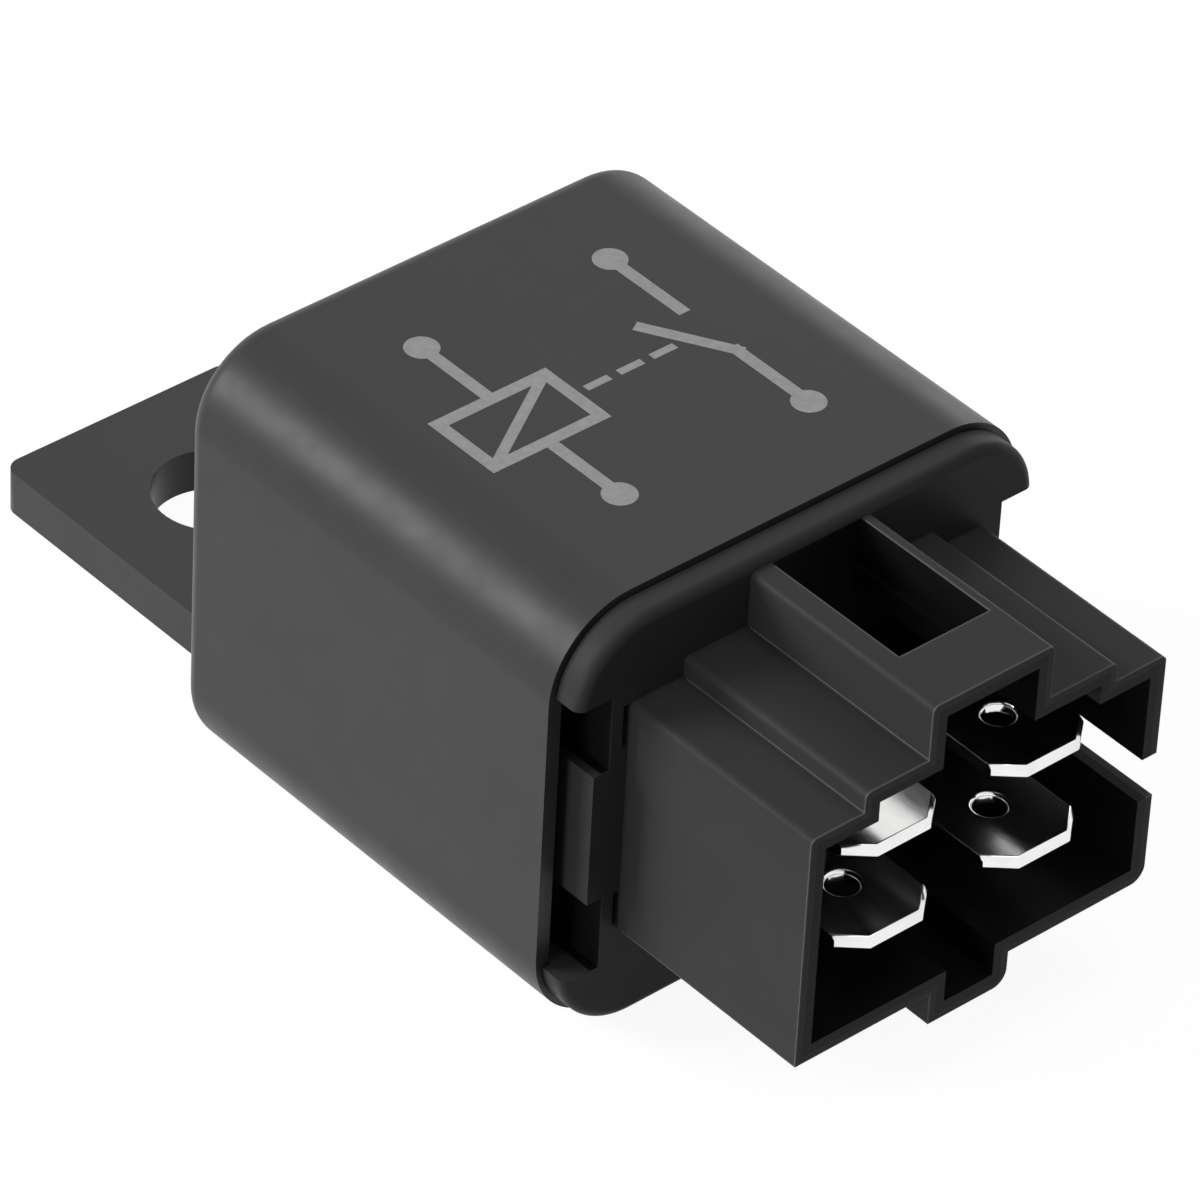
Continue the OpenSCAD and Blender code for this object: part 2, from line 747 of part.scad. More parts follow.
module fixed_contact() {
  color([0.85, 0.85, 0.84]) {
    rod_y(contact_x, arm_y, fixed_face_y, mid_z, contact_d);
    rod_y(contact_x, arm_y - strip_t - tail_t, fixed_face_y, mid_z, rivet_d);
    rod_y(contact_x, arm_y - strip_t - tail_t, arm_y - strip_t, mid_z, tail_d);
  }
}

// One of the two rivets that hold the spring's leg to the yoke
module yoke_rivet(s) {
  head_x = spring_leg_x - spring_t;
  z = mid_z + s * yoke_rivet_pitch / 2;
  color([0.8, 0.8, 0.78]) {
    rod_x(head_x - rivet_head, yoke_x + yoke_t, yoke_rivet_y, z, rivet_d);
    rod_x(head_x - rivet_head, head_x, yoke_rivet_y, z, rivet_head_d);
  }
}

// One of the two rivets that hold the spring to the armature
module armature_rivet(s) {
  head_y = armature_t + spring_t;
  z = s * armature_rivet_pitch / 2;
  color([0.8, 0.8, 0.78])
    on_armature() {
      rod_y(armature_rivet_l, 0, head_y + rivet_head, z, rivet_d);
      rod_y(armature_rivet_l, head_y, head_y + rivet_head, z, rivet_head_d);
    }
}

// Strip that stops the open armature, where a changeover relay has its contact
module armature_stop() {
  color([0.7, 0.7, 0.68]) {
    box([strip_x, inner_y - stop_foot, stop_z0],
      [strip_x + strip_t, stop_y + strip_t, stop_z1]);
    box([contact_x - contact_d / 2, stop_y, mid_z - contact_d / 2],
      [strip_x + strip_t, stop_y + strip_t, stop_z1]);
  }
}

cover();
base();
terminal_30();
terminal_87();
terminal_85();
terminal_86();
yoke();
core();
bobbin();
coil_winding();
coil_lead_85();
coil_lead_86();
armature();
contact_spring();
moving_contact();
fixed_contact();
yoke_rivet(-1);  // yoke_rivet_1
yoke_rivet(1);  // yoke_rivet_2
armature_rivet(-1);  // armature_rivet_1
armature_rivet(1);  // armature_rivet_2
armature_stop();
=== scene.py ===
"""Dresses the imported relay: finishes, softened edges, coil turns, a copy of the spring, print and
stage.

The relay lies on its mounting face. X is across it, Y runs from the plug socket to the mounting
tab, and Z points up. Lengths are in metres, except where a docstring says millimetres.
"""

import logging
import math
from abc import ABC, abstractmethod
from dataclasses import dataclass, field
from enum import Enum
from functools import cache

import bpy
from mathutils import Matrix, Vector


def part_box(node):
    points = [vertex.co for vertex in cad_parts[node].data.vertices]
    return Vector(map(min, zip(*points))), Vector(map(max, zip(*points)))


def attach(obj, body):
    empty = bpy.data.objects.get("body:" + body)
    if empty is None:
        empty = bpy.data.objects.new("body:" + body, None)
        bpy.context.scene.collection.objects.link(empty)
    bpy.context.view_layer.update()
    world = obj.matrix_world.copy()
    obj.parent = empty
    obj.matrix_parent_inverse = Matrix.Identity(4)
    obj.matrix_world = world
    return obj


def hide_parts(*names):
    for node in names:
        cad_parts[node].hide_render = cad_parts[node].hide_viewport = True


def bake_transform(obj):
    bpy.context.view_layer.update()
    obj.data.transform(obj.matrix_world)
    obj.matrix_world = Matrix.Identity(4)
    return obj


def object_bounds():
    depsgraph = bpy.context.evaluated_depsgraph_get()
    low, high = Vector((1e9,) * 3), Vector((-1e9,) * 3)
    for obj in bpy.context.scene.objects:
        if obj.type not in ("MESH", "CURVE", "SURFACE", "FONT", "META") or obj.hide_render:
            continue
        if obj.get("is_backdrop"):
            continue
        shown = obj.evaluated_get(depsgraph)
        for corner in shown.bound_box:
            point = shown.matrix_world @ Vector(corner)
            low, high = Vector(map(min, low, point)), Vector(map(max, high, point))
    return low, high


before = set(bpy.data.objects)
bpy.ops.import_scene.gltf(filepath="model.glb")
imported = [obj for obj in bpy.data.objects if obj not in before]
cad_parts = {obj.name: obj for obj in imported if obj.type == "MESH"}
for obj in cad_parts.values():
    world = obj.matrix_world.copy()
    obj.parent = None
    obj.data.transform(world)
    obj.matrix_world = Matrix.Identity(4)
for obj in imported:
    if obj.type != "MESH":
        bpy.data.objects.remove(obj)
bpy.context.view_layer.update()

logging.basicConfig(level=logging.INFO, format="%(name)s: %(message)s")
log = logging.getLogger("relay")

MM = 0.001
WHITE = (1.0, 1.0, 1.0, 1.0)
NOISE_SPAN = (0.3, 0.7)  # nearly all values of Blender's noise lie between these
EDGE_SAMPLES = 4

Triple = tuple[float, float, float]
Colour = Triple
Socket = bpy.types.NodeSocket


class Body(Enum):
    """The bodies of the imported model."""

    HOUSING = "housing"
    ARMATURE = "armature"


def scaled(colour: Colour, factor: float) -> Colour:
    """The colour with each channel multiplied by the factor."""
    return tuple(channel * factor for channel in colour)


@dataclass(frozen=True)
class Room:
    """Box in millimetres, from its low corner to its high corner."""

    low: Triple
    high: Triple

    def middle(self) -> Vector:
        """Middle of the box, in metres."""
        return (Vector(self.low) + Vector(self.high)) * (MM / 2)

    def half(self) -> Vector:
        """Half of the box's size, in metres."""
        return (Vector(self.high) - Vector(self.low)) * (MM / 2)


# ---------- shader building ----------


class NodeTree:
    """Small helper that adds and links shader nodes."""

    def __init__(self, tree: bpy.types.NodeTree) -> None:
        """Takes over a node tree and empties it.

        Args:
            tree: node tree of a material or of the world.
        """
        self.tree = tree
        self.tree.nodes.clear()

    def add(self, kind: str) -> bpy.types.Node:
        """Adds one shader node.

        Args:
            kind: type of the node, without Blender's prefix.

        Returns:
            The new node.
        """
        return self.tree.nodes.new(f"ShaderNode{kind}")

    def link(self, source: Socket, target: Socket) -> None:
        """Joins two sockets."""
        self.tree.links.new(source, target)

    def math(self, operation: str, *values: Socket | float) -> Socket:
        """Applies one scalar operation.

        Args:
            operation: Blender's name for the operation.
            values: sockets or numbers, in order.

        Returns:
            The socket that holds the result.
        """
        node = self.add("Math")
        node.operation = operation
        for index, value in enumerate(values):
            if isinstance(value, (int, float)):
                node.inputs[index].default_value = value
            else:
                self.link(value, node.inputs[index])
        return node.outputs[0]

    def most(self, *values: Socket) -> Socket:
        """The largest of some values.

        Args:
            values: sockets to compare.

        Returns:
            The socket that holds the largest value.
        """
        result = values[0]
        for value in values[1:]:
            result = self.math("MAXIMUM", result, value)
        return result

    def ramp(self, value: Socket, low: float, high: float,
             to_low: float = 0.0, to_high: float = 1.0) -> Socket:
        """Maps a value from one range to another, clamped.

        Args:
            value: the socket to map.
            low: value that gives to_low.
            high: value that gives to_high.
            to_low: result at low.
            to_high: result at high.

        Returns:
            The socket that holds the result.
        """
        node = self.add("MapRange")
        keys = ("From Min", "From Max", "To Min", "To Max")
        for key, number in zip(keys, (low, high, to_low, to_high)):
            node.inputs[key].default_value = number
        self.link(value, node.inputs["Value"])
        return node.outputs["Result"]

    def seen(self) -> Socket:
        """Share that is 1 for rays of the camera, of reflections and through glass, and else 0.

        Returns:
            The socket that holds the share.
        """
        rays = self.add("LightPath").outputs
        return self.most(*(rays[f"Is {kind} Ray"] for kind in ("Camera", "Glossy", "Transmission")))


class MaterialTree(NodeTree):
    """The nodes of one new material, with its output and one principled shader."""

    def __init__(self, name: str) -> None:
        """Starts the material.

        Args:
            name: name of the material.
        """
        self.material = bpy.data.materials.new(name)
        self.material.use_nodes = True
        super().__init__(self.material.node_tree)
        self.shader = self.add("BsdfPrincipled")
        self.link(self.shader.outputs[0], self.add("OutputMaterial").inputs[0])
        self.place = self.add("TexCoord").outputs["Object"]

    def set(self, **values: float | tuple[float, ...]) -> None:
        """Sets constants on the shader's own sockets, with _ for a space in each name."""
        for key, value in values.items():
            self.shader.inputs[key.replace("_", " ")].default_value = value

    def feed(self, name: str, source: Socket) -> None:
        """Links a socket to the shader's input of that name."""
        self.link(source, self.shader.inputs[name])

    def noise(self, size: float, detail: float = 2.0, stretch: Triple = (1, 1, 1)) -> Socket:
        """Noise from 0 to 1 whose spots have a real size.

        Args:
            size: width of one spot, in metres.
            detail: number of finer layers.
            stretch: how many times finer the noise is along each axis.

        Returns:
            The socket that holds the noise.
        """
        mapping = self.add("Mapping")
        mapping.inputs["Scale"].default_value = tuple(factor / size for factor in stretch)
        self.link(self.place, mapping.inputs["Vector"])
        node = self.add("TexNoise")
        node.inputs["Scale"].default_value = 1.0
        node.inputs["Detail"].default_value = detail
        self.link(mapping.outputs[0], node.inputs["Vector"])
        return node.outputs["Fac"]

    def spread(self, noise: Socket, low: float, high: float) -> Socket:
        """Maps noise to a range that it then fills.

        Args:
            noise: socket with noise.
            low: low end of the range.
            high: high end of the range.

        Returns:
            The socket that holds the result.
        """
        return self.ramp(noise, *NOISE_SPAN, low, high)

    def mix(self, share: Socket, first: Socket | Colour, second: Colour) -> Socket:
        """Blends two colours by a share.

        Args:
            share: socket from 0, all first, to 1, all second.
            first: linear colour, or a socket with one.
            second: linear colour.

        Returns:
            The socket that holds the colour.
        """
        node = self.add("Mix")
        node.data_type = "RGBA"
        self.link(share, node.inputs["Factor"])
        if isinstance(first, tuple):
            node.inputs["A"].default_value = (*first, 1)
        else:
            self.link(first, node.inputs["A"])
        node.inputs["B"].default_value = (*second, 1)
        return node.outputs["Result"]

    def shade(self, noise: Socket, colour: Colour, darkest: float, palest: float) -> Socket:
        """Makes a colour darker and paler by noise.

        Args:
            noise: socket with noise.
            colour: linear colour.
            darkest: factor of the colour at its darkest.
            palest: factor of the colour at its palest.

        Returns:
            The socket that holds the colour.
        """
        return self.mix(self.spread(noise, 0, 1), scaled(colour, darkest), scaled(colour, palest))

    def edge_share(self, reach: float, low: float, high: float) -> Socket:
        """Share that is 1 on edges and 0 on open faces.

        Args:
            reach: how far from an edge the share begins, in metres.
            low: bend of the rounded normal at which the share begins.
            high: bend at which it is full.

        Returns:
            The socket that holds the share.
        """
        bevel = self.add("Bevel")
        bevel.samples = EDGE_SAMPLES
        bevel.inputs["Radius"].default_value = reach
        dot = self.add("VectorMath")
        dot.operation = "DOT_PRODUCT"
        self.link(bevel.outputs[0], dot.inputs[0])
        self.link(self.add("NewGeometry").outputs["Normal"], dot.inputs[1])
        return self.ramp(dot.outputs["Value"], 1 - low, 1 - high)

    def inside(self, room: Room, fade: float = 0.03 * MM) -> Socket:
        """Share that is 1 inside a box and 0 outside it.

        Args:
            room: the box.
            fade: distance over which the share falls to 0, in metres.

        Returns:
            The socket that holds the share.
        """
        source = self.place
        steps = (("SUBTRACT", room.middle()), ("ABSOLUTE", None), ("SUBTRACT", room.half()))
        for operation, vector in steps:
            node = self.add("VectorMath")
            node.operation = operation
            self.link(source, node.inputs[0])
            if vector is not None:
                node.inputs[1].default_value = vector
            source = node.outputs[0]
        parts = self.add("SeparateXYZ")
        self.link(source, parts.inputs[0])
        return self.ramp(self.most(*parts.outputs), 0, fade, 1, 0)

    def bump(self, height: Socket, depth: float) -> None:
        """Drives the shader's normal by a height map.

        Args:
            height: socket from 0 to 1.
            depth: height of a full step, in metres.
        """
        node = self.add("Bump")
        node.inputs["Strength"].default_value = 1.0
        node.inputs["Distance"].default_value = depth
        self.link(height, node.inputs["Height"])
        self.feed("Normal", node.outputs[0])


# ---------- finishes ----------


@dataclass(frozen=True)
class Finish(ABC):
    """Look of one kind of surface."""

    name: str
    colour: Colour

    @abstractmethod
    def material(self) -> bpy.types.Material:
        """Builds the material."""


@dataclass(frozen=True)
class MouldedPlastic(Finish):
    """Plastic from a spark-eroded mould: fine grain, faint flow marks and paler edges,
    partly wear and partly painted highlight.

    Surfaces inside the rooms of painted shade get a near-black colour, a painted shade for those
    hollows, and a smoother roughness.
    """

    roughness: float
    specular: float
    flow: float = 7 * MM
    flow_stretch: Triple = (1, 0.35, 1)
    flow_shade: float = 0.07
    patch: float = 2.2 * MM
    patch_roughness: float = 0.04
    grain: float = 0.09 * MM
    grain_depth: float = 0.004 * MM
    # The edge fields paint the edges paler: partly wear, partly painted highlight.
    edge_gain: float = 1.35
    edge_reach: float = 0.12 * MM
    edge_bend: tuple[float, float] = (0.02, 0.25)
    wear_and_highlight_room: Room | None = None
    # Rooms and colour of the painted shade: near-black where hollows lie in shade.
    painted_shade_rooms: tuple[Room, ...] = ()
    painted_shade_colour: Colour = (0.01, 0.01, 0.0105)
    polish_roughness: float = 0.3

    def material(self) -> bpy.types.Material:
        """Builds the material."""
        tree = MaterialTree(self.name)
        flow = tree.noise(self.flow, 3, self.flow_stretch)
        base = tree.shade(flow, self.colour, 1 - self.flow_shade, 1 + self.flow_shade)
        # Paler edges, partly wear and partly painted highlight.
        wear_and_highlight = tree.edge_share(self.edge_reach, *self.edge_bend)
        if self.wear_and_highlight_room:
            wear_and_highlight = tree.math("MULTIPLY", wear_and_highlight, tree.inside(self.wear_and_highlight_room))
        base = tree.mix(wear_and_highlight, base, scaled(self.colour, self.edge_gain))
        rough = tree.spread(tree.noise(self.patch), self.roughness - self.patch_roughness,
                            self.roughness + self.patch_roughness)
        # Painted shade: near-black colour and smoother roughness inside the rooms.
        if self.painted_shade_rooms:
            share = tree.most(*(tree.inside(room) for room in self.painted_shade_rooms))
            base = tree.mix(share, base, self.painted_shade_colour)
            smoother = tree.math("MULTIPLY", share, self.polish_roughness - self.roughness)
            rough = tree.math("ADD", rough, smoother)
        tree.feed("Base Color", base)
        tree.feed("Roughness", rough)
        tree.bump(tree.noise(self.grain), self.grain_depth)
        tree.set(Specular_IOR_Level=self.specular)
        return tree.material


@dataclass(frozen=True)
class PlatedMetal(Finish):
    """Rolled or turned metal with a thin plate, fine lines along one axis and a few dull patches.

    Given a width for it, a fine dark line of that width runs along each edge: a painted dark
    reflection of the rounded edge.
    """

    dull: Colour
    roughness: float
    patch: float = 1.6 * MM
    patch_span: tuple[float, float] = (0.45, 0.75)
    dull_share: float = 0.35
    line: float = 0.05 * MM
    line_stretch: Triple = (1, 0.03, 1)
    line_depth: float = 0.0006 * MM
    line_gain: tuple[float, float] = (0.8, 1.3)
    painted_edge_reflection: float = 0.0
    painted_edge_reflection_bend: tuple[float, float] = (0.03, 0.2)
    painted_edge_reflection_darkness: float = 0.3

    def material(self) -> bpy.types.Material:
        """Builds the material."""
        tree = MaterialTree(self.name)
        patch = tree.ramp(tree.noise(self.patch, 4), *self.patch_span, 0, self.dull_share)
        base = tree.mix(patch, self.colour, self.dull)
        # Painted dark reflection: a fine dark line along each edge.
        if self.painted_edge_reflection:
            share = tree.edge_share(self.painted_edge_reflection, *self.painted_edge_reflection_bend)
            base = tree.mix(share, base, scaled(self.dull, self.painted_edge_reflection_darkness))
        tree.feed("Base Color", base)
        lines = tree.noise(self.line, 2, self.line_stretch)
        smoothest, roughest = (self.roughness * gain for gain in self.line_gain)
        tree.feed("Roughness", tree.spread(lines, smoothest, roughest))
        tree.bump(lines, self.line_depth)
        tree.set(Metallic=1.0)
        return tree.material


@dataclass(frozen=True)
class EnamelledWire(Finish):
    """Copper under amber enamel, with the shade drifting from turn to turn."""

    pitch: float
    wave_depth: float = 0.01 * MM
    darkest: float = 0.8
    palest: float = 1.15

    def material(self) -> bpy.types.Material:
        """Builds the material."""
        tree = MaterialTree(self.name)
        drift = tree.noise(self.pitch * 2, 2, (0.05, 1, 0.05))
        tree.feed("Base Color", tree.shade(drift, self.colour, self.darkest, self.palest))
        tree.bump(tree.noise(self.pitch, 1, (0.2, 1, 0.2)), self.wave_depth)
        tree.set(Metallic=0.85, Roughness=0.28, Coat_Weight=0.6, Coat_Roughness=0.12)
        return tree.material


@dataclass(frozen=True)
class PrintInk(Finish):
    """Matt pad-print ink with a slightly uneven film."""

    film: float = 0.35 * MM
    thinnest: float = 0.88
    thickest: float = 1.08
    grain: float = 0.09 * MM
    grain_depth: float = 0.003 * MM

    def material(self) -> bpy.types.Material:
        """Builds the material."""
        tree = MaterialTree(self.name)
        film = tree.noise(self.film, 3)
        tree.feed("Base Color", tree.shade(film, self.colour, self.thinnest, self.thickest))
        tree.bump(tree.noise(self.grain), self.grain_depth)
        tree.set(Roughness=0.62, Specular_IOR_Level=0.3)
        return tree.material


# Hollows of the base: the socket, its steps, the latch's room and window, and the side recesses;
# their surfaces get a near-black painted shade
SOCKET_ROOMS = (
    Room((-11.4, -33.6, 6.95), (11.4, -19.7, 20.55)),
    Room((-7.95, -33.6, 20.4), (7.95, -19.7, 21.75)),
    Room((-3.8, -33.6, 21.6), (3.4, -19.7, 25.05)),
    Room((-3.05, -29.35, 24.9), (3.25, -19.7, 25.42)),
    Room((-2.35, -33.6, 4.95), (2.05, -19.7, 7.2)),
    Room((-13.5, -19.75, 4.4), (-12.6, -16.4, 22.0)),
    Room((12.6, -19.75, 4.4), (13.5, -16.4, 22.0)),
)
# Round the hole in the mounting tab, whose wall gets a near-black painted shade
HOLE_ROOM = Room((-5.65, 20.85, -0.1), (1.65, 28.15, 2.62))
# The socket's outside, where edges are painted paler: partly wear, partly painted highlight
WEAR_AND_HIGHLIGHT_ROOM = Room((-12.2, -33.6, 4.0), (12.2, -20.1, 25.8))

# The wall of the cover's tab hole and the base's hollows get a near-black painted shade.
COVER_PLASTIC = MouldedPlastic(
    "cover_plastic", (0.041, 0.041, 0.042), roughness=0.4, specular=0.25, painted_shade_rooms=(HOLE_ROOM,))
# Base: edges round the socket painted much paler, partly wear and partly painted highlight.
BASE_PLASTIC = MouldedPlastic(
    "base_plastic", (0.054, 0.054, 0.055), roughness=0.44, specular=0.06,
    edge_gain=4.6, edge_reach=0.2 * MM, wear_and_highlight_room=WEAR_AND_HIGHLIGHT_ROOM, painted_shade_rooms=SOCKET_ROOMS)
BOBBIN_PLASTIC = MouldedPlastic(
    "bobbin_plastic", (0.72, 0.68, 0.56), roughness=0.5, specular=0.4, edge_gain=1.05)
# The tin's edges carry a painted dark reflection line.
TIN = PlatedMetal(
    "bright_tin", (0.86, 0.86, 0.85), dull=(0.62, 0.62, 0.61), roughness=0.13, painted_edge_reflection=0.09 * MM)
ZINC = PlatedMetal(
    "zinc_plate", (0.66, 0.67, 0.68), dull=(0.48, 0.49, 0.5), roughness=0.3,
    line_stretch=(1, 0.2, 1))
IRON = PlatedMetal(
    "turned_iron", (0.6, 0.59, 0.57), dull=(0.42, 0.41, 0.4), roughness=0.32,
    line_stretch=(0.1, 1, 0.1))
SPRING = PlatedMetal(
    "spring_copper", (0.78, 0.5, 0.3), dull=(0.56, 0.33, 0.2), roughness=0.24,
    line_stretch=(0.04, 0.04, 1))
SILVER = PlatedMetal(
    "contact_silver", (0.9, 0.89, 0.87), dull=(0.66, 0.64, 0.6), roughness=0.22,
    line_stretch=(1, 1, 1))
RIVET = PlatedMetal(
    "rivet_steel", (0.68, 0.68, 0.67), dull=(0.5, 0.5, 0.49), roughness=0.3,
    line_stretch=(1, 1, 1))
WIRE = EnamelledWire("coil_wire", (0.62, 0.24, 0.08), pitch=0.16 * MM)
INK = PrintInk("grey_ink", (0.44, 0.44, 0.445))

WELD_REACH = 0.002 * MM
FLAT_DEG = 0.4  # faces that turn less than this are merged before the rounding
SHARP_DEG = 32  # edges that turn less than this stay as they are
ROUNDING_STEPS = 2
FACE_WEIGHT = 100  # large faces stay flat in the light


# ---------- dressing CAD nodes ----------


@cache
def material_of(finish: Finish) -> bpy.types.Material:
    """The material of a finish, built on its first use.

    Args:
        finish: the finish.

    Returns:
        Its material.
    """
    return finish.material()


def soften(node: bpy.types.Object, width: float) -> None:
    """Rounds the sharp edges of a CAD node with live modifiers, leaving its mesh as packed.

    Args:
        node: the CAD node's object.
        width: width of the rounding, in metres.
    """
    node.data.shade_smooth()
    weld = node.modifiers.new("weld", "WELD")
    weld.merge_threshold = WELD_REACH
    flat = node.modifiers.new("flatten", "DECIMATE")
    flat.decimate_type = "DISSOLVE"
    flat.angle_limit = math.radians(FLAT_DEG)
    bevel = node.modifiers.new("round_edges", "BEVEL")
    bevel.width = width
    bevel.segments = ROUNDING_STEPS
    bevel.limit_method = "ANGLE"
    bevel.angle_limit = math.radians(SHARP_DEG)
    bevel.use_clamp_overlap = True
    bevel.miter_outer = "MITER_ARC"
    weights = node.modifiers.new("weights", "WEIGHTED_NORMAL")
    weights.keep_sharp = False
    weights.weight = FACE_WEIGHT


def dress(name: str, finish: Finish, edge: float = 0.0) -> bpy.types.Object:
    """Gives a CAD node its material and rounds its edges.

    Args:
        name: name of the node.
        finish: its finish.
        edge: width of the rounding, in metres, or 0 for none.

    Returns:
        The node's object.
    """
    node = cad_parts[name]
    node.data.materials.clear()
    node.data.materials.append(material_of(finish))
    if edge:
        soften(node, edge)
    log.info("dressed %s in %s", name, finish.name)
    return node


def clear_selection() -> None:
    """Deselects every object, because the loader leaves the CAD nodes selected."""
    bpy.ops.object.select_all(action="DESELECT")


@dataclass
class Housing:
    """Cover and base, the moulded shell of the relay."""

    edge: float = 0.1 * MM

    def build(self) -> None:
        """Dresses the shell."""
        dress("cover", COVER_PLASTIC, self.edge)
        dress("base", BASE_PLASTIC, self.edge)


@dataclass
class Terminals:
    """The four blade terminals."""

    nodes: tuple[str, ...] = ("terminal_30", "terminal_87", "terminal_85", "terminal_86")
    edge: float = 0.05 * MM

    def build(self) -> None:
        """Dresses the blades."""
        for node in self.nodes:
            dress(node, TIN, self.edge)


@dataclass
class Magnet:
    """Yoke, core, bobbin, winding and its wire ends."""

    edge: float = 0.08 * MM
    wires: tuple[str, ...] = ("coil_winding", "coil_lead_85", "coil_lead_86")

    def build(self) -> None:
        """Dresses the magnet's pieces."""
        dress("yoke", ZINC, self.edge)
        dress("core", IRON, self.edge)
        dress("bobbin", BOBBIN_PLASTIC, self.edge)
        for node in self.wires:
            dress(node, WIRE)


@dataclass
class CoilTurns:
    """Outer layer of the coil, turn by turn, half sunk in the body of the winding."""

    pitch: float = 0.2 * MM
    wire_r: float = 0.095 * MM
    around: int = 72
    across: int = 8

    def build(self) -> None:
        """Winds the turns on the coil."""
        low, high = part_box("coil_winding")
        middle = (low + high) / 2
        count = int((high.y - low.y) / self.pitch)
        first = middle.y - (count - 1) * self.pitch / 2
        clear_selection()
        bpy.ops.mesh.primitive_torus_add(
            major_segments=self.around, minor_segments=self.across,
            major_radius=(high.x - low.x) / 2, minor_radius=self.wire_r,
            location=(middle.x, first, middle.z), rotation=(math.pi / 2, 0, 0))
        turns = bpy.context.object
        turns.name = "coil_turns"
        bpy.ops.object.transform_apply(location=True, rotation=True, scale=True)
        row = turns.modifiers.new("row", "ARRAY")
        row.count = count
        row.use_relative_offset = False
        row.use_constant_offset = True
        row.constant_offset_displace = (0, self.pitch, 0)
        bpy.ops.object.modifier_apply(modifier=row.name)
        turns.data.shade_smooth()
        turns.data.materials.append(material_of(WIRE))
        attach(turns, Body.HOUSING.value)
        log.info("wound %s with %d turns", turns.name, count)


@dataclass
class Contacts:
    """Armature, leaf spring, contacts, rivets and stop.

    The points where the spring's bend would start and end, in millimetres, are not used.
    """

    edge: float = 0.06 * MM
    plates: tuple[str, ...] = ("armature", "armature_stop")
    tips: tuple[str, ...] = ("moving_contact", "fixed_contact")
    rivets: tuple[str, ...] = (
        "yoke_rivet_1", "yoke_rivet_2", "armature_rivet_1", "armature_rivet_2")
    bend_start: Triple = (-13.15, 2.7, 13.2)
    bend_end: Triple = (-13.15, 6.9, 13.2)

    def leaf(self) -> None:
        """Puts a copy in the spring's place and hides the spring."""
        node = dress("contact_spring", SPRING)
        leaf = bpy.data.objects.new("spring_leaf", node.data.copy())
        bpy.context.scene.collection.objects.link(leaf)
        leaf.matrix_world = node.matrix_world
        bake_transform(leaf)
        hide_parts("contact_spring")
        log.info("bent %s round the hinge", leaf.name)

    def build(self) -> None:
        """Dresses the contact set."""
        for nodes, finish in ((self.plates, ZINC), (self.tips, SILVER), (self.rivets, RIVET)):
            for node in nodes:
                dress(node, finish, self.edge)
        self.leaf()


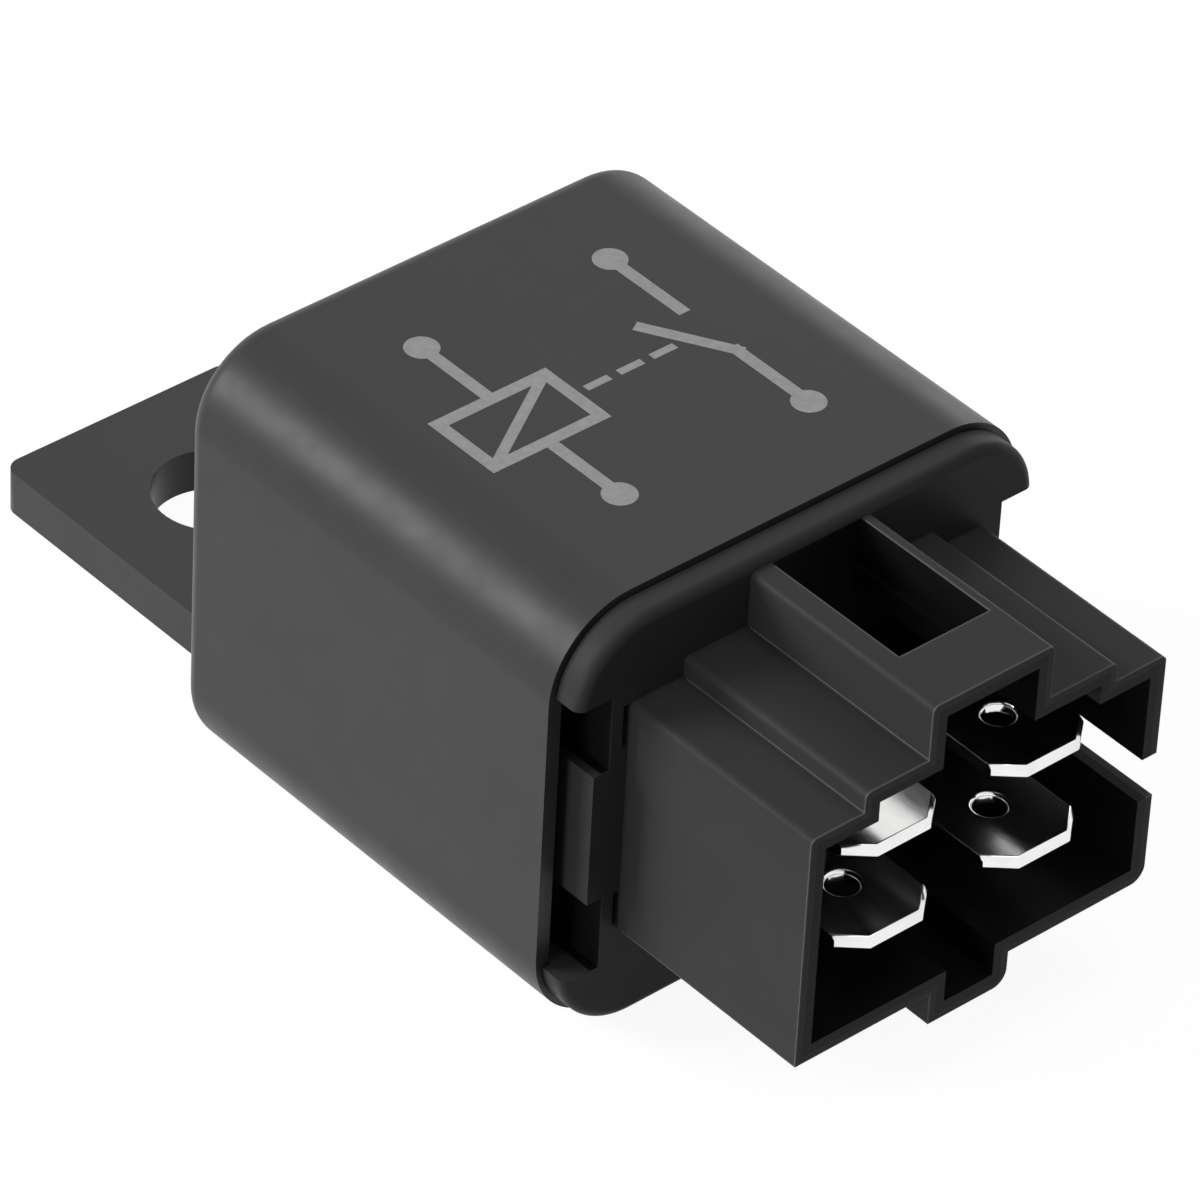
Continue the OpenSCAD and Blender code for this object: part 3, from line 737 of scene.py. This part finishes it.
@dataclass
class CircuitSymbol:
    """Generic circuit symbol of a relay, printed on the cover: a coil, a switch and their leads."""

    line: float = 0.75 * MM
    slant_share: float = 0.8
    dash_share: float = 0.64
    proud: float = 0.006 * MM
    sink: float = 0.05 * MM
    middle: tuple[float, float] = (0.2 * MM, -4.2 * MM)
    coil_w: float = 7.0 * MM
    coil_h: float = 4.4 * MM
    coil_x: float = -6.2 * MM
    lead_x: float = 6.4 * MM
    reach: float = 7.2 * MM
    ring_r: float = 0.95 * MM
    ring_sides: int = 48
    blade_throw: float = 2.6 * MM
    dash: float = 1.1 * MM

    @property
    def height(self) -> float:
        """Height of the print, most of it sunk in the cover."""
        return self.proud + self.sink

    def spot(self, place: Vector) -> Vector:
        """Where the middle of a stroke lies.

        Args:
            place: its place, from the middle of the symbol.

        Returns:
            The point in the scene.
        """
        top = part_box("cover")[1].z
        across, along = place + Vector(self.middle)
        return Vector((across, along, top + self.proud - self.height / 2))

    def bar(self, start: tuple[float, float], end: tuple[float, float],
            line: float) -> bpy.types.Object:
        """Lays one straight stroke on the cover.

        Args:
            start: one end, from the middle of the symbol.
            end: the other end.
            line: width of the stroke.

        Returns:
            The stroke's object.
        """
        first, last = Vector(start), Vector(end)
        run = last - first
        clear_selection()
        bpy.ops.mesh.primitive_cube_add(size=1, location=self.spot((first + last) / 2))
        stroke = bpy.context.object
        stroke.scale = (run.length + line, line, self.height)
        stroke.rotation_euler = (0, 0, math.atan2(run.y, run.x))
        bpy.ops.object.transform_apply(location=True, rotation=True, scale=True)
        return stroke

    def ring(self, place: tuple[float, float]) -> bpy.types.Object:
        """Lays one round terminal mark on the cover.

        Args:
            place: its middle, from the middle of the symbol.

        Returns:
            The mark's object.
        """
        clear_selection()
        bpy.ops.mesh.primitive_cylinder_add(
            vertices=self.ring_sides, radius=self.ring_r, depth=self.height,
            location=self.spot(Vector(place)))
        bpy.ops.object.transform_apply(location=True, rotation=True, scale=True)
        return bpy.context.object

    def unite(self, piece: bpy.types.Object, stroke: bpy.types.Object) -> None:
        """Joins one stroke to the print so that crossing strokes share one outline.

        Args:
            piece: the print so far.
            stroke: the stroke to add, which is deleted afterwards.
        """
        clear_selection()
        bpy.context.view_layer.objects.active = piece
        piece.select_set(True)
        union = piece.modifiers.new("unite", "BOOLEAN")
        union.operation = "UNION"
        union.solver = "EXACT"
        union.object = stroke
        bpy.ops.object.modifier_apply(modifier=union.name)
        bpy.data.objects.remove(stroke, do_unlink=True)

    def coil(self) -> list[bpy.types.Object]:
        """Lays the coil's box with its slant line and its two leads.

        Returns:
            The strokes.
        """
        left, right = self.coil_x - self.coil_w / 2, self.coil_x + self.coil_w / 2
        high, low = self.coil_h / 2, -self.coil_h / 2
        return [
            self.bar((left, low), (left, high), self.line),
            self.bar((right, low), (right, high), self.line),
            self.bar((left, high), (right, high), self.line),
            self.bar((left, low), (right, low), self.line),
            self.bar((left, low), (right, high), self.line * self.slant_share),
            self.bar((self.coil_x, high), (self.coil_x, self.reach), self.line),
            self.bar((self.coil_x, low), (self.coil_x, -self.reach), self.line),
        ]

    def switch(self) -> list[bpy.types.Object]:
        """Lays the open switch: two leads and the blade.

        Returns:
            The strokes.
        """
        high, low = self.coil_h / 2, -self.coil_h / 2
        return [
            self.bar((self.lead_x, high), (self.lead_x, self.reach), self.line),
            self.bar((self.lead_x, low), (self.lead_x, -self.reach), self.line),
            self.bar((self.lead_x, low), (self.lead_x - self.blade_throw, high), self.line),
        ]

    def link(self) -> list[bpy.types.Object]:
        """Lays the dashed link from the coil to the switch.

        Returns:
            The strokes.
        """
        start = self.coil_x + self.coil_w / 2 + self.dash
        end = self.lead_x - self.blade_throw / 2 - self.dash / 2
        starts = [start + 2 * self.dash * step
                  for step in range(int((end - start) / (2 * self.dash)) + 1)]
        return [self.bar((x, 0), (x + self.dash, 0), self.line * self.dash_share) for x in starts]

    def ends(self) -> list[bpy.types.Object]:
        """Lays the round marks at the four ends of the leads.

        Returns:
            The marks.
        """
        far = self.reach + self.ring_r / 2
        return [self.ring((x, y)) for x in (self.coil_x, self.lead_x) for y in (-far, far)]

    def build(self) -> None:
        """Draws the symbol as one piece of print."""
        strokes = self.coil() + self.switch() + self.link() + self.ends()
        piece = strokes[0]
        piece.name = "circuit_symbol"
        for stroke in strokes[1:]:
            self.unite(piece, stroke)
        piece.data.materials.append(material_of(INK))
        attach(piece, Body.HOUSING.value)
        log.info("printed %s with %d strokes", piece.name, len(strokes))


# ---------- stage ----------


@dataclass(frozen=True)
class Lamp:
    """Square area lamp that faces the middle of the relay."""

    name: str
    offset: Triple
    size: float
    power: float

    def build(self, middle: Vector) -> None:
        """Hangs the lamp.

        Args:
            middle: middle of the relay, from which the offset is measured.
        """
        data = bpy.data.lights.new(self.name, "AREA")
        data.shape = "SQUARE"
        data.size = self.size
        data.energy = self.power
        lamp = bpy.data.objects.new(self.name, data)
        bpy.context.scene.collection.objects.link(lamp)
        lamp.location = middle + Vector(self.offset)
        lamp.rotation_mode = "QUATERNION"
        lamp.rotation_quaternion = (-Vector(self.offset)).to_track_quat("-Z", "Y")
        log.info("hung %s", self.name)


LAMPS = (
    Lamp("key_lamp", (-0.514, 0.434, 0.332), size=0.34, power=3.4),
    Lamp("left_lamp", (-0.75, -0.05, 0.12), size=0.3, power=1.5),
    Lamp("top_lamp", (0.05, -0.1, 0.8), size=0.4, power=1.2),
    Lamp("rear_right_lamp", (0.7, 0.3, 0.25), size=0.3, power=0.7),
)


@dataclass
class Stage:
    """Pale floor, soft lights and white surroundings."""

    floor_size: float = 4.0
    floor_drop: float = 0.02 * MM
    floor_albedo: float = 0.2
    floor_glow: float = 0.92
    fill: float = 0.1
    surround: float = 1.0

    def floor(self) -> None:
        """Lays the floor, pale to the camera and grey to the light that it bounces."""
        clear_selection()
        bpy.ops.mesh.primitive_plane_add(size=self.floor_size, location=(0, 0, -self.floor_drop))
        floor = bpy.context.object
        floor.name = "floor"
        tree = MaterialTree("floor_paper")
        tree.set(Base_Color=(self.floor_albedo,) * 3 + (1,), Emission_Color=WHITE,
                 Roughness=0.9, Specular_IOR_Level=0.1)
        tree.feed("Emission Strength", tree.math("MULTIPLY", tree.seen(), self.floor_glow))
        floor.data.materials.append(tree.material)
        floor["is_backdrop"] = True
        log.info("laid the floor")

    def world(self) -> None:
        """Sets white surroundings for the camera, metal and glass, and a weak fill for the rest."""
        world = bpy.data.worlds.new("surroundings")
        bpy.context.scene.world = world
        world.use_nodes = True
        tree = NodeTree(world.node_tree)
        background = tree.add("Background")
        background.inputs["Color"].default_value = WHITE
        level = tree.ramp(tree.seen(), 0, 1, self.fill, self.surround)
        tree.link(level, background.inputs["Strength"])
        tree.link(background.outputs[0], tree.add("OutputWorld").inputs[0])
        log.info("set the surroundings")

    def build(self) -> None:
        """Builds the floor, the surroundings and the lamps."""
        self.floor()
        self.world()
        low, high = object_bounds()
        for lamp in LAMPS:
            lamp.build((low + high) / 2)
        bpy.context.scene.view_settings.view_transform = "Standard"


@dataclass
class Camera:
    """Camera with a long lens, above the plug end and to its left."""

    azimuth_deg: float = -42.621
    elevation_deg: float = 38.072
    roll_deg: float = 3.112
    lens_mm: float = 261.07
    sensor_mm: float = 36.0
    distance: float = 439.167 * MM
    near: float = 10 * MM
    aim: Vector = field(default_factory=lambda: Vector((-4.775, -9.524, 17.655)) * MM)

    def build(self) -> None:
        """Places the camera and makes it the scene's own."""
        turn, rise = math.radians(self.azimuth_deg), math.radians(self.elevation_deg)
        roll = math.radians(self.roll_deg)
        level = Vector((math.sin(turn), -math.cos(turn), 0))
        back = level * math.cos(rise) + Vector((0, 0, math.sin(rise)))
        right = Vector((math.cos(turn), math.sin(turn), 0))
        up = back.cross(right)
        side = right * math.cos(roll) + up * math.sin(roll)
        data = bpy.data.cameras.new("camera")
        data.lens = self.lens_mm
        data.sensor_width = self.sensor_mm
        data.clip_start = self.near
        camera = bpy.data.objects.new("camera", data)
        bpy.context.scene.collection.objects.link(camera)
        axes = Matrix((side, back.cross(side), back)).transposed()
        camera.matrix_world = Matrix.Translation(self.aim + back * self.distance) @ axes.to_4x4()
        bpy.context.scene.camera = camera
        log.info("placed the camera %.0f mm away", self.distance / MM)


def main() -> None:
    """Builds the scene in order: shell, terminals, magnet, contacts, print, stage and camera."""
    Housing().build()
    Terminals().build()
    Magnet().build()
    CoilTurns().build()
    Contacts().build()
    CircuitSymbol().build()
    Stage().build()
    Camera().build()


if __name__ == "__main__":
    main()
